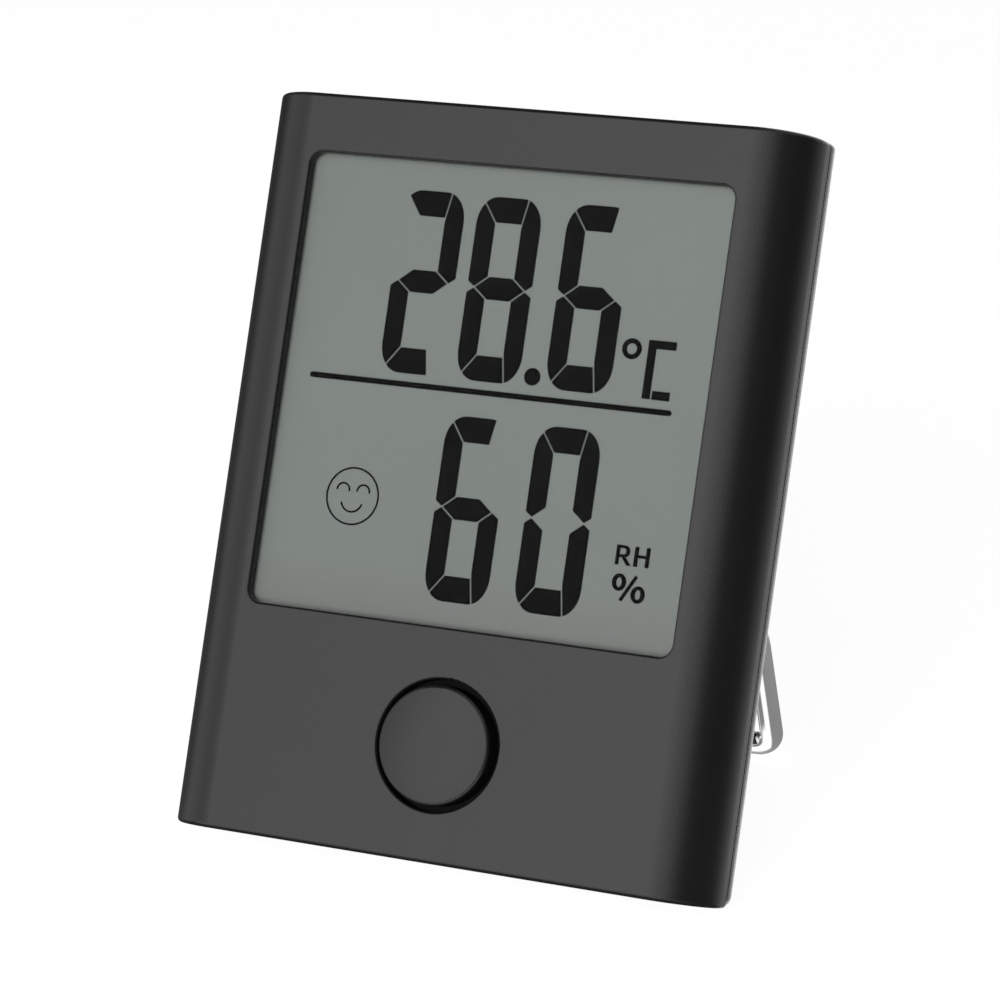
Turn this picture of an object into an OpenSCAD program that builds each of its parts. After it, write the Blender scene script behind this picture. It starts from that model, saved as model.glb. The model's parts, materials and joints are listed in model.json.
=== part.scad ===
// Desk temperature and humidity sensor with a square display, one front button and a folding wire stand.
// Millimetres, +Z up, the front looks along -Y. The origin is under the middle of the part, on the table.
// Every piece is drawn with the case upright: x to the right, y back from the front face, z up from the
// bottom edge. The last module leans it back until the rear edge and the wire stand both touch the table.

/* [Case] */
// Width of the case across the front
body_w = 60; // [58:1:76]
// Height of the case
body_h = 76.2; // [74:0.2:96]
// Radius of the two long front edges
front_r = 6; // [4:0.2:6.6]
// Radius of the two long rear edges
rear_r = 3.8; // [2.4:0.2:4]
// Rounding of the top and bottom rims
rim_r = 0.5; // [0.3:0.1:0.9]
// Rounding of the lower rear edge, on which the case stands
heel_r = 1.2; // [0.9:0.1:1.5]
// Wall thickness of the case
wall = 1.6; // [1.4:0.1:2]
// Width and depth of the shadow line between front shell and rear cover
shadow = 0.2; // [0.1:0.05:0.3]
// Clearance of parts that slip into one another
slip = 0.1; // [0.05:0.01:0.15]
// Thickness of the ribs that locate the display
rib_t = 0.8; // [0.7:0.1:1]
// Length of each of those ribs
rib_len = 8; // [5:0.5:10]
// Gap between a rib and the glass
rib_gap = 0.15; // [0.1:0.01:0.2]
// Distance from the middle to the rests under the top of the board
rest_x = 17; // [16:0.5:18]
// Width of each rest
rest_w = 6; // [4:0.5:6]
// Distance from the middle to the hooks of the rear cover
hook_x = 9; // [7:0.5:10]
// Width of each hook
hook_w = 6; // [4:0.5:6]

/* [Display] */
// Width of the frame at each side of the window
side_frame = 6.65; // [6.2:0.05:9]
// Width of the frame above the window
top_frame = 6.1; // [5.4:0.1:9]
// Height of the chin below the window
chin = 23.5; // [21:0.1:30]
// Corner radius of the window
win_corner = 1.35; // [1:0.05:3]
// Rounding of the rim of the window
win_rim = 0.3; // [0.2:0.05:0.5]
// Thickness of the window frame in front of the lens
frame_t = 1; // [0.8:0.1:1.2]
// Thickness of the clear lens
lens_t = 0.6; // [0.5:0.1:0.8]
// How far the lens reaches past the window on each side
lens_lap = 1.4; // [1:0.1:1.6]
// Gap between lens and display, closed by a frame of tape
lens_gap = 0.1; // [0.1:0.05:0.2]
// How far the tape stays back from the window
tape_inset = 0.3; // [0.2:0.05:0.5]
// Thickness of each display film
film_t = 0.2; // [0.15:0.05:0.3]
// Thickness of each display glass
glass_t = 0.55; // [0.4:0.05:0.7]
// How far each display film stays back from the edge of its glass
film_inset = 0.4; // [0.3:0.05:0.6]
// How far the display glass reaches past the window on each side
glass_lap = 1.65; // [1.2:0.05:1.7]
// Height of the contact ledge under the display
ledge_h = 2.6; // [2.2:0.1:3]
// Thickness of the foam between display and board
foam_t = 2; // [1.6:0.1:2.6]
// Distance from the middle to each foam strip
foam_x = 11; // [9:0.5:12]
// Width of each foam strip
foam_w = 10; // [6:0.5:11]
// Length of each foam strip
foam_len = 36; // [28:1:42]

/* [Button] */
// Radius of the button cap
cap_r = 6.02; // [5:0.01:7]
// Gap between button and case
button_gap = 0.64; // [0.2:0.01:0.8]
// How far the button stands out of the front
button_proud = 1.1; // [0.6:0.05:1.4]
// Radius of the flat middle of the button face
button_flat = 1.2; // [0.8:0.1:2]
// Height of the crown round it
button_crown = 0.2; // [0.1:0.05:0.4]
// Rounding of the button edge
button_edge = 0.4; // [0.2:0.05:0.5]
// How far the button sits above the middle of the chin
button_rise = 0; // [-1:0.05:1]
// Travel of the button
button_travel = 0.25; // [0.2:0.05:0.3]
// Width of the square switch under the button
switch_w = 5.2; // [4:0.1:6]

/* [Board and battery] */
// Thickness of the circuit board
board_t = 1; // [0.8:0.1:1.6]
// Height of the battery contacts above the board
contact_h = 0.5; // [0.4:0.05:0.9]
// Diameter of the coin cell
cell_d = 20; // [19.9:0.1:20.1]
// Thickness of the coin cell
cell_t = 3.2; // [3:0.05:3.3]
// How far the battery door reaches past the cell
door_lap = 2.4; // [2.2:0.1:2.8]
// Thickness of the battery door
door_t = 1.4; // [1.2:0.1:1.8]
// Turn that frees the battery door
door_turn = 40; // [30:1:50]
// Length of the coin slot in the battery door
coin_len = 14; // [10:0.5:16]
// Width of the coin slot in the battery door
coin_w = 1.8; // [1.5:0.1:2.2]
// Thickness of the contact leaves
leaf_t = 0.2; // [0.15:0.05:0.3]
// Width of the contact leaves
leaf_w = 4; // [3:0.5:5]
// Length of the soldered foot of the lower contact
leaf_foot = 3; // [2:0.5:4]
// Length of the rising stretch of the lower contact
leaf_rise = 4; // [3:0.5:5]
// Length of the flat tip of the lower contact
leaf_tip = 4; // [3:0.5:6]
// Length of each small part on the board
part_len = 1.6; // [1:0.1:2]
// Width of each small part on the board
part_w = 1; // [0.6:0.1:1.2]
// Distance from one small part to the next
part_step = 1.7; // [1.5:0.1:2]
// Distance from the middle to the first small part
part_x = 9; // [8:0.5:10]
// Distance from the board screws up to the small parts
part_gap = 3.8; // [3:0.1:4.5]

/* [Back] */
// Radius of the wide end of the hanging hole
hole_r = 3.25; // [2.8:0.05:3.6]
// Radius of the narrow end of the hanging hole
slot_r = 1.6; // [1.2:0.05:1.8]
// Distance from the top of the case to the wide end of the hanging hole
hole_drop = 11; // [10.5:0.1:12]
// Diameter of each magnet
magnet_d = 8; // [6:0.5:9]
// Thickness of each magnet
magnet_t = 2; // [1.5:0.1:2.2]
// Distance from the middle to each magnet
magnet_x = 9; // [8:0.5:9.5]
// Distance from the top of the case to the magnets
magnet_drop = 21; // [20:0.5:22]
// Height of the middle of the air slots
vent_z = 11; // [10.5:0.1:12]
// Length of each air slot
vent_len = 9; // [6:0.5:10]
// Width of each air slot
vent_w = 1.4; // [1:0.1:1.8]

/* [Wire stand] */
// Diameter of the stand wire
wire_d = 2.5; // [2:0.1:2.6]
// Distance from the middle to each leg of the stand
leg_x = 17.9; // [17.5:0.1:18.5]
// Distance from the top of the case to the hinge line
hinge_drop = 14.4; // [13.5:0.1:16]
// Case material behind the hinge pins
hinge_cover = 0.95; // [0.8:0.05:1.2]
// Height of the folded crossbar above the bottom edge
bar_z = 1.5; // [1.3:0.05:2]
// Angle of the open stand
open_angle = 40.9; // [34:0.1:46]
// Radius of the lower bends along the middle of the wire
foot_bend = 1.9; // [1.6:0.1:3]
// Radius of the upper bends along the middle of the wire
pin_bend = 2; // [1.6:0.1:2.2]
// Length of each hinge pin
pin_len = 3; // [2.4:0.1:3.2]
// Radial clearance of the hinge pins
pin_fit = 0.05; // [0.03:0.01:0.08]
// Gap around the wire in its groove
wire_gap = 0.15; // [0.1:0.01:0.2]

/* [Screws] */
// Thread radius of the case screws
case_screw_r = 1; // [0.9:0.05:1.1]
// Head radius of the case screws
case_head_r = 2; // [1.8:0.05:2.1]
// Distance from the side of the case to the case screws
screw_inset = 6.5; // [6.2:0.1:6.8]
// Height of the case screws above the bottom edge
screw_z = 8; // [7:0.1:9]
// Thread radius of the board screws
board_screw_r = 0.8; // [0.7:0.05:0.9]
// Head radius of the board screws
board_head_r = 1.6; // [1.4:0.05:1.7]
// Distance from the middle to the board screws
board_screw_x = 13.4; // [13:0.1:13.6]

/* [Hidden] */
$fn = 72;
half_w = body_w / 2;
eps = 0.3;
// Layers from the front face to the back
lens_y = frame_t;
tape_y = lens_y + lens_t;
film_y = tape_y + lens_gap;
front_glass_y = film_y + film_t;
rear_glass_y = front_glass_y + glass_t;
reflector_y = rear_glass_y + glass_t;
foam_y = reflector_y + film_t;
board_y = foam_y + foam_t;
board_back = board_y + board_t;
cell_y = board_back + contact_h;
cell_back = cell_y + cell_t;
door_y = cell_back + slip;
door_back = door_y + door_t;
body_d = door_back + slip;
seam_y = board_back + 1;
cover_y = body_d - wall;
// Rear cover lip
lip_wall = 1.3;
lip_w = half_w - wall - slip;
lip_in = lip_w - lip_wall;
lip_low = wall + slip;
lip_len = 0.8;
// Display
win_w = body_w - 2 * side_frame;
win_h = body_h - top_frame - chin;
win_z = chin + win_h / 2;
lens_w = win_w + 2 * lens_lap;
lens_h = win_h + 2 * lens_lap;
glass_w = win_w + 2 * glass_lap;
glass_h = win_h + 2 * lens_lap;
film_w = glass_w - 2 * film_inset;
film_h = glass_h - 2 * film_inset;
glass_low = win_z - glass_h / 2;
glass_top = win_z + glass_h / 2;
ledge_low = glass_low - ledge_h;
rib_x = glass_w / 2 + rib_gap;
zebra_gap = 0.2;
zebra_h = ledge_h - 3 * zebra_gap;
zebra_inset = 3;
zebra_w = glass_w - 2 * zebra_inset;
// Button
button_z = chin / 2 + button_rise;
well_r = cap_r + button_gap;
flange_r = well_r + 0.6;
flange_y = wall + 0.05;
flange_t = 0.6;
collar_end = flange_y + flange_t + 0.35;
crown_w = cap_r - button_edge - button_flat;
crown_r = (crown_w * crown_w + button_crown * button_crown) / (2 * button_crown);
switch_h = 1.5;
switch_y = board_y - switch_h;
plunger_r = 1.2;
plunger_out = 0.6;
tip_y = switch_y - plunger_out;
stem_r = 1.6;
// Screw places
screw_x = half_w - screw_inset;
boss_r = case_screw_r + 1.5;
post_r = board_screw_r + 1.2;
boss_end = seam_y - 0.2;
case_head_t = 1.2;
case_seat_y = door_back - case_head_t;
// Battery door
vent_top = vent_z + vent_len / 2;
magnet_z = body_h - magnet_drop;
magnet_cup_r = magnet_d / 2 + 1.2;
door_z = (vent_top + magnet_z - magnet_cup_r) / 2;
cell_r = cell_d / 2;
door_r = cell_r + door_lap;
door_hole_r = door_r + 0.2;
nest_r = cell_r + 0.3;
nest_wall = 0.8;
skirt_r = door_r - 0.8;
lug_r = door_r + 1.1;
lug_w = 4.6;
lug_t = 0.95;
lug_y = cover_y - 0.15 - lug_t;
shelf_y = lug_y - 0.2;
ring_r = lug_r + 0.5;
lug_angles = [90, 210, 330];
crystal_x = 7.5;
// Hanging hole
hole_z = body_h - hole_drop;
slot_run = 4.5;
// Wire stand
wire_r = wire_d / 2;
hinge_y = body_d - hinge_cover - wire_r - pin_fit;
hinge_z = body_h - hinge_drop;
leg_len = hinge_z - bar_z;
groove_half = wire_r + wire_gap;
groove_y = hinge_y - groove_half;
channel_wall = 0.9;
channel_y = groove_y - channel_wall;
channel_half = groove_half + channel_wall;
pin_x = leg_x + pin_bend;
hinge_slot = pin_bend + wire_r + 1;
// The lean brings the rear edge and the open stand down to one level
foot_y = hinge_y + leg_len * sin(open_angle);
foot_z = hinge_z - leg_len * cos(open_angle);
edge_y = body_d - heel_r;
edge_z = heel_r;
run = foot_y - edge_y;
rise = foot_z - edge_z;
lean = atan2(rise, run) - asin((wire_r - heel_r) / sqrt(run * run + rise * rise));
floor_z = foot_z * cos(lean) - foot_y * sin(lean) - wire_r;
back_end = foot_y * cos(lean) + foot_z * sin(lean) + wire_r;
front_end = rim_r * (cos(lean) + sin(lean) - 1);
middle_y = (front_end + back_end) / 2;
// Colours
case_colour = [0.1, 0.1, 0.105];
steel = [0.78, 0.79, 0.8];
brass = [0.8, 0.68, 0.38];

// Helpers

// Thickens an outline of (depth, height) along x
module along_x(x0, len) {
  translate([x0, 0, 0]) rotate([90, 0, 90]) linear_extrude(len) children();
}

// Thickens an outline of (x, height) along the depth
module along_y(y0, len) {
  translate([0, y0 + len, 0]) rotate([90, 0, 0]) linear_extrude(len) children();
}

// Turns an outline of (radius, depth) about a line that runs back through x and z
module turned(x, z) {
  translate([x, 0, z]) rotate([-90, 0, 0]) rotate_extrude() children();
}

// Round bar that runs back from y0 to y1
module rod(x, z, y0, y1, r) {
  translate([x, y0, z]) rotate([-90, 0, 0]) cylinder(r = r, h = y1 - y0);
}

// Box from its two corners
module box(x0, x1, y0, y1, z0, z1) {
  translate([x0, y0, z0]) cube([x1 - x0, y1 - y0, z1 - z0]);
}

// Both sides of the case
module both() {
  children();
  mirror([1, 0, 0]) children();
}

// Rounded rectangle about the origin
module round_rect(w, h, r) {
  square([w - 2 * r, h], center = true);
  square([w, h - 2 * r], center = true);
  for (sx = [-1, 1], sz = [-1, 1]) translate([sx * (w / 2 - r), sz * (h / 2 - r)]) circle(r);
}

// Upright rectangle from the origin with its two outer corners rounded
module end_round(w, h, r) {
  square([w - r, h]);
  translate([0, r]) square([w, h - 2 * r]);
  translate([w - r, r]) circle(r);
  translate([w - r, h - r]) circle(r);
}

// Corner that is cut off where a rim is rounded
module rim_cut(r) {
  difference() {
    translate([-0.2, -0.2]) square(r + 0.2);
    translate([r, r]) circle(r);
  }
}

// Case

// Outside of the front shell
module front_outside() {
  flat_w = half_w - front_r;
  translate([0, front_r, 0]) mirror([0, 1, 0]) along_x(-flat_w, 2 * flat_w) end_round(front_r, body_h, rim_r);
  both() translate([flat_w, front_r, 0]) rotate([0, 0, -90])
    rotate_extrude(angle = 90) end_round(front_r, body_h, rim_r);
  along_y(front_r, seam_y - shadow - front_r) translate([0, body_h / 2]) round_rect(body_w, body_h, rim_r);
  along_y(seam_y - shadow, shadow) translate([0, body_h / 2])
    round_rect(body_w - 2 * shadow, body_h - 2 * shadow, rim_r);
}

// Room inside the front shell
module front_room() {
  flat_w = half_w - front_r;
  translate([0, 0, wall]) linear_extrude(body_h - 2 * wall) {
    translate([-flat_w, wall]) square([2 * flat_w, seam_y]);
    for (s = [-1, 1]) translate([s * flat_w, front_r]) circle(front_r - wall);
    translate([wall - half_w, front_r]) square([body_w - 2 * wall, seam_y]);
  }
}

// Window opening with its rounded rim
module window_cut() {
  half_x = win_w / 2 - win_corner;
  half_z = win_h / 2 - win_corner;
  along_y(-1, wall + 2) translate([0, win_z]) round_rect(win_w, win_h, win_corner);
  translate([0, 0, win_z]) rotate([-90, 0, 0]) {
    for (a = [0, 90, 180, 270]) rotate([0, 0, a]) {
      long = (a % 180 == 0) ? half_z : half_x;
      out = (a % 180 == 0) ? win_w / 2 : win_h / 2;
      translate([out, long, 0]) rotate([90, 0, 0]) linear_extrude(2 * long) rim_cut(win_rim);
      translate([out - win_corner, long, 0])
        rotate_extrude(angle = 90) translate([win_corner, 0]) rim_cut(win_rim);
    }
  }
}

module front_shell() {
  color(case_colour) difference() {
    union() {
      difference() {
        front_outside();
        front_room();
      }
      // Screw bosses, board posts and the ledges that carry the top of the board
      both() {
        rod(screw_x, screw_z, wall - eps, boss_end, boss_r);
        rod(board_screw_x, button_z, wall - eps, board_y, post_r);
        box(rest_x, rest_x + rest_w, wall - eps, board_y, glass_top + 2 * rib_gap, body_h - wall + eps);
        // Ribs that locate the display glass at its sides and below it
        for (z = [win_z + rib_len, win_z - 2 * rib_len]) intersection() {
          box(rib_x, rib_x + rib_t, wall - eps, reflector_y, z, z + rib_len);
          front_outside();
        }
        translate([0, 0, ledge_low - rib_gap - rib_t])
          box(rest_x - rib_len / 2, rest_x, wall - eps, rear_glass_y, 0, rib_t);
      }
      // Collar round the button flange
      difference() {
        rod(0, button_z, wall - eps, collar_end, flange_r + 1.05);
        rod(0, button_z, wall - 1, collar_end + 1, flange_r + 0.25);
      }
    }
    window_cut();
    // Pockets of the lens and of the display glass
    box(-lens_w / 2 - slip, lens_w / 2 + slip, lens_y, front_glass_y, win_z - lens_h / 2 - slip,
      win_z + lens_h / 2 + slip);
    box(-glass_w / 2 - slip, glass_w / 2 + slip, front_glass_y, reflector_y, ledge_low - slip,
      glass_top + slip);
    rod(0, button_z, -1, wall + 1, well_r);
    turned(0, button_z) translate([well_r, 0]) rim_cut(0.25);
    both() {
      rod(screw_x, screw_z, wall + 0.9, boss_end + 1, case_screw_r + 0.02);
      rod(board_screw_x, button_z, wall + 0.5, board_y + 1, board_screw_r + 0.02);
      // Pockets for the hooks of the rear cover
      box(hook_x - eps, hook_x + hook_w + eps, board_y - 0.4, board_back + 0.1, body_h - wall - eps,
        body_h - wall + 0.6);
    }
  }
}

// Upright rectangle with the rim at its top and the heel at its bottom
module heel_round() {
  intersection() {
    end_round(rear_r, body_h, rim_r);
    end_round(rear_r, body_h + heel_r, heel_r);
  }
}

// Outside of the rear cover
module rear_outside() {
  flat_w = half_w - rear_r;
  along_y(seam_y, body_d - rear_r - seam_y) intersection() {
    translate([0, body_h / 2]) round_rect(body_w, body_h, rim_r);
    translate([0, body_h / 2 + heel_r]) round_rect(body_w, body_h + 2 * heel_r, heel_r);
  }
  translate([0, body_d - rear_r, 0]) along_x(-flat_w, 2 * flat_w) heel_round();
  both() translate([flat_w, body_d - rear_r, 0]) rotate_extrude(angle = 90) heel_round();
}

// Outline of the room that the hinge needs as the stand swings, as (depth, height)
module hinge_sweep() {
  reach = groove_half;
  top = [hinge_y + reach * cos(open_angle), hinge_z + reach * sin(open_angle)];
  out = body_d + 0.5;
  polygon([
    [groove_y, hinge_z - hinge_slot],
    [groove_y, hinge_z],
    top,
    [out, top[1] - (out - top[0]) / tan(open_angle)],
    [out, hinge_z - hinge_slot]
  ]);
  translate([hinge_y, hinge_z]) circle(reach);
}

// Grooves of the wire stand with the holes for its pins
module stand_cuts() {
  both() {
    along_x(leg_x - groove_half, pin_bend + groove_half) hinge_sweep();
    box(leg_x - groove_half, leg_x + groove_half, groove_y, body_d + 1, -1, hinge_z - hinge_slot + 0.1);
    translate([pin_x - 0.1, hinge_y, hinge_z]) rotate([0, 90, 0])
      cylinder(r = wire_r + pin_fit, h = pin_len + 0.3);
  }
  box(-leg_x, leg_x, groove_y, body_d + 1, -1, bar_z + groove_half);
  // Inner corners that clear the lower bends
  both() along_y(groove_y, body_d + 1 - groove_y)
    translate([leg_x - foot_bend, bar_z + foot_bend]) difference() {
      translate([0, -foot_bend]) square(foot_bend);
      circle(foot_bend - groove_half);
    }
}

// Material behind the grooves and round the pins
module stand_channel() {
  end = cover_y + eps;
  both() {
    box(leg_x - channel_half, leg_x + channel_half, channel_y, end, lip_low, hinge_z + 2.6);
    box(leg_x, pin_x + pin_len + 1.2, channel_y, end, hinge_z - 2.6, hinge_z + 2.6);
  }
  box(-leg_x, leg_x, channel_y, end, lip_low, bar_z + channel_half);
}

// Nest of the coin cell as (radius, depth)
module nest_outline() {
  translate([ring_r, shelf_y - nest_wall]) square([0.9, cover_y + eps - shelf_y + nest_wall]);
  translate([nest_r, shelf_y - nest_wall]) square([ring_r + 0.5 - nest_r, nest_wall]);
  translate([nest_r, board_back + 0.4]) square([nest_wall, shelf_y - board_back - 0.4]);
}

// Hanging hole as (x, height)
module hole_outline(grow) {
  translate([0, hole_z]) circle(hole_r + grow);
  translate([-slot_r - grow, hole_z]) square([2 * (slot_r + grow), slot_run]);
  translate([0, hole_z + slot_run]) circle(slot_r + grow);
}

module rear_cover() {
  color(case_colour) difference() {
    union() {
      difference() {
        union() {
          rear_outside();
          box(-lip_w, lip_w, seam_y - lip_len, seam_y + eps, lip_low, body_h - lip_low);
        }
        box(-lip_in, lip_in, seam_y - 2, cover_y, lip_low + lip_wall - 0.4,
          body_h - lip_low - lip_wall + 0.4);
      }
      stand_channel();
      turned(0, door_z) nest_outline();
      both() {
        rod(screw_x, screw_z, boss_end + 0.05, cover_y + eps, boss_r + 0.1);
        rod(magnet_x, magnet_z, cover_y - 1.3, cover_y + eps, magnet_cup_r);
        // Hooks that catch the top of the front shell
        box(hook_x, hook_x + hook_w, board_y - 0.2, seam_y + 0.2, body_h - lip_low - lip_wall + 0.4,
          body_h - lip_low);
        box(hook_x, hook_x + hook_w, board_y - 0.2, board_back - 0.2, body_h - lip_low - 0.5,
          body_h - lip_low + 0.55);
      }
      // Closed pocket behind the hanging hole
      box(-hole_r - 1.9, hole_r + 1.9, channel_y, cover_y + eps, hole_z - hole_r - 0.9,
        hole_z + slot_run + 2.9);
    }
    box(-hole_r - 1.1, hole_r + 1.1, channel_y + 0.8, cover_y, hole_z - hole_r - 0.1,
      hole_z + slot_run + 2.1);
    along_y(cover_y - 1, wall + 2) hole_outline(0);
    stand_cuts();
    // Door opening with the notches that let the lugs in
    rod(0, door_z, shelf_y + 0.1, body_d + 1, door_hole_r);
    translate([0, 0, door_z]) rotate([-90, 0, 0]) for (a = lug_angles) rotate([0, 0, a + door_turn])
      translate([door_r - 2, -lug_w / 2 - 0.3, cover_y - 0.5])
        cube([lug_r + 2.4 - door_r, lug_w + 0.6, wall + 2]);
    // Gap in the nest for the side contact
    box(cell_r - 1, nest_r + nest_wall + 0.1, board_back, shelf_y - nest_wall,
      door_z - leaf_w / 2 - 0.7, door_z + leaf_w / 2 + 0.7);
    both() {
      rod(screw_x, screw_z, boss_end - 1, body_d + 1, case_screw_r + 0.2);
      rod(screw_x, screw_z, case_seat_y, body_d + 1, case_head_r + 0.2);
      rod(magnet_x, magnet_z, door_back - magnet_t, body_d + 1, magnet_d / 2 + 0.05);
    }
    for (i = [-2.5 : 2.5]) along_y(cover_y - 0.5, wall + 2)
      translate([i * 3.2, vent_z]) round_rect(vent_w, vent_len, vent_w / 2 - 0.05);
  }
}

// Display

module window_lens() {
  color([0.85, 0.9, 0.92, 0.35]) along_y(lens_y, lens_t) translate([0, win_z]) round_rect(lens_w, lens_h, 1);
}

module lens_tape() {
  color([0.1, 0.1, 0.1]) along_y(tape_y, lens_gap) translate([0, win_z]) difference() {
    round_rect(lens_w, lens_h, 1);
    square([win_w + 2 * tape_inset, win_h + 2 * tape_inset], center = true);
  }
}

module lcd_front_film() {
  color([0.6, 0.62, 0.6]) along_y(film_y, film_t) translate([0, win_z])
    square([film_w, film_h], center = true);
}

module lcd_front_glass() {
  color([0.75, 0.8, 0.78]) box(-glass_w / 2, glass_w / 2, front_glass_y, rear_glass_y, ledge_low, glass_top);
}

module lcd_rear_glass() {
  color([0.7, 0.76, 0.74]) box(-glass_w / 2, glass_w / 2, rear_glass_y, reflector_y, glass_low, glass_top);
}

module lcd_reflector() {
  color([0.72, 0.73, 0.7]) along_y(reflector_y, film_t) translate([0, win_z])
    square([film_w, film_h], center = true);
}

module lcd_foam() {
  color([0.2, 0.2, 0.2]) both()
    box(foam_x, foam_x + foam_w, foam_y, board_y, win_z - foam_len / 2, win_z + foam_len / 2);
}

module zebra_strip() {
  low = ledge_low + zebra_gap;
  color([0.9, 0.55, 0.6]) box(-zebra_w / 2, zebra_w / 2, rear_glass_y, board_y, low, low + zebra_h);
}

// Button

module button_cap() {
  face = -button_proud;
  rim = face + button_crown + button_edge;
  color(case_colour) turned(0, button_z) {
    difference() {
      union() {
        intersection() {
          union() {
            translate([0, face]) square([cap_r - button_edge, flange_y - face]);
            translate([0, rim]) square([cap_r, flange_y - rim]);
            translate([cap_r - button_edge, rim]) circle(button_edge);
          }
          union() {
            translate([0, face]) square([button_flat, flange_y - face]);
            translate([button_flat, face + crown_r]) circle(crown_r, $fn = 720);
          }
        }
        translate([0, flange_y]) square([flange_r, flange_t]);
      }
      translate([stem_r, face + 1.4]) square([cap_r - 1 - stem_r, 5]);
    }
    translate([0, flange_y]) square([stem_r, tip_y - 0.05 - flange_y]);
  }
}

module switch_plunger() {
  color([0.2, 0.2, 0.21]) rod(0, button_z, tip_y, switch_y + 0.5, plunger_r);
}

module switch_body() {
  half = switch_w / 2;
  color(steel) difference() {
    union() {
      box(-half, half, switch_y, board_y, button_z - half, button_z + half);
      // Solder feet
      for (s = [-1, 1], t = [-1, 1]) translate([s * half, board_y, button_z + t * 1.6])
        box(-0.9, 0.9, -0.25, 0, -0.4, 0.4);
    }
    rod(0, button_z, switch_y - 1, switch_y + 0.9, plunger_r + 0.08);
  }
}

// Board

module main_board() {
  edge = half_w - wall - 2.4;
  color([0.1, 0.36, 0.2]) difference() {
    box(-edge, edge, board_y, board_back, wall + 1.6, body_h - wall - 2.2);
    both() {
      rod(screw_x, screw_z, board_y - 1, board_back + 1, boss_r + 0.3);
      box(screw_x, half_w, board_y - 1, board_back + 1, screw_z - boss_r - 0.3, screw_z + boss_r + 0.3);
      rod(board_screw_x, button_z, board_y - 1, board_back + 1, board_screw_r + 0.2);
    }
  }
}

// Drop of black resin over the bonded chip
module chip_cover() {
  cap_h = 0.9;
  drop_r = 4;
  ball_r = (drop_r * drop_r + cap_h * cap_h) / (2 * cap_h);
  color([0.08, 0.08, 0.08]) intersection() {
    translate([-7, board_back + cap_h - ball_r, magnet_z + 1]) sphere(ball_r, $fn = 120);
    box(-20, 10, board_back, board_back + 3, magnet_z - 10, magnet_z + 12);
  }
}

module clock_crystal() {
  color(steel) {
    translate([crystal_x, board_back + 1, magnet_z - 2]) cylinder(r = 1, h = 6);
    for (s = [-0.35, 0.35]) translate([crystal_x + s, board_back, magnet_z - 3])
      box(-0.15, 0.15, 0, 1, 0, 1.2);
  }
}

module board_parts() {
  low = button_z + board_head_r + part_gap;
  color([0.75, 0.66, 0.5]) both() for (i = [0 : 3]) translate([part_x + i * part_step, board_back, low])
    cube([part_w, 0.6, part_len]);
}

module humidity_sensor() {
  color([0.93, 0.93, 0.9]) difference() {
    box(-8.5, -3.5, board_back, board_back + 1.6, vent_z - 3.5, vent_z + 1.5);
    rod(-6, vent_z - 1, board_back + 0.8, board_back + 3, 1.3);
  }
}

module thermistor() {
  color([0.15, 0.15, 0.15]) {
    translate([6, board_back + 0.8, vent_z]) sphere(0.8);
    for (s = [-0.35, 0.35])
      translate([6 + s, board_back + 0.8, vent_z - 3.4]) cylinder(r = 0.15, h = 3.2);
    for (s = [-0.35, 0.35])
      box(6 + s - 0.15, 6 + s + 0.15, board_back, board_back + 0.95, vent_z - 3.7, vent_z - 3.3);
  }
}

// Screw with a cross in its head, from its tip back to its seat
module screw(x, z, tip, seat, r, head_r, head_t) {
  difference() {
    union() {
      rod(x, z, tip, seat + 0.1, r);
      rod(x, z, seat, seat + head_t, head_r);
    }
    for (a = [0, 90]) translate([x, seat + head_t * 0.45, z]) rotate([-90, 0, 0]) rotate([0, 0, a])
      translate([-head_r * 0.62, -head_r * 0.13, 0]) cube([head_r * 1.24, head_r * 0.26, head_t]);
  }
}

module board_screws() {
  color(steel) for (s = [-1, 1])
    screw(s * board_screw_x, button_z, wall + 0.8, board_back, board_screw_r, board_head_r, 0.8);
}

module case_screws() {
  color(steel) for (s = [-1, 1])
    screw(s * screw_x, screw_z, wall + 1.2, case_seat_y, case_screw_r, case_head_r, case_head_t);
}

// Battery

// Leaf that presses on the small face of the cell
module contact_minus() {
  low = board_back;
  tip = leaf_tip / 2;
  foot = tip + leaf_rise;
  color(brass) translate([0, 0, door_z - leaf_w / 2]) linear_extrude(leaf_w) polygon([
    [-foot - leaf_foot, low], [-foot, low], [-tip, cell_y - leaf_t], [tip, cell_y - leaf_t],
    [tip, cell_y], [-tip, cell_y], [-foot, low + leaf_t], [-foot - leaf_foot, low + leaf_t]
  ]);
}

// Upright tab that presses on the side of the cell
module contact_plus() {
  color(brass) {
    translate([cell_r, board_back, door_z - leaf_w / 2]) {
      cube([leaf_foot, leaf_t, leaf_w]);
      cube([leaf_t, shelf_y - nest_wall - 0.2 - board_back, leaf_w]);
    }
  }
}

module coin_cell() {
  color(steel) {
    rod(0, door_z, cell_y + 0.5, cell_back, cell_r);
    rod(0, door_z, cell_y, cell_y + 0.6, cell_r - 1.1);
  }
}

module battery_door() {
  color(case_colour) difference() {
    union() {
      rod(0, door_z, door_y, door_back, door_r);
      difference() {
        rod(0, door_z, lug_y, door_y + 0.2, skirt_r);
        rod(0, door_z, lug_y - 1, door_y + 0.1, cell_r + 0.35);
      }
      translate([0, 0, door_z]) rotate([-90, 0, 0]) for (a = lug_angles) rotate([0, 0, a])
        translate([cell_r + 0.6, -lug_w / 2, lug_y]) cube([lug_r - cell_r - 0.6, lug_w, lug_t]);
    }
    // Slot for a coin
    translate([-coin_len / 2, door_back - 0.8, door_z - coin_w / 2]) cube([coin_len, 2, coin_w]);
  }
}

module magnets() {
  color(steel) for (s = [-1, 1]) rod(s * magnet_x, magnet_z, door_back - magnet_t, door_back, magnet_d / 2);
}

// Wire stand

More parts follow.
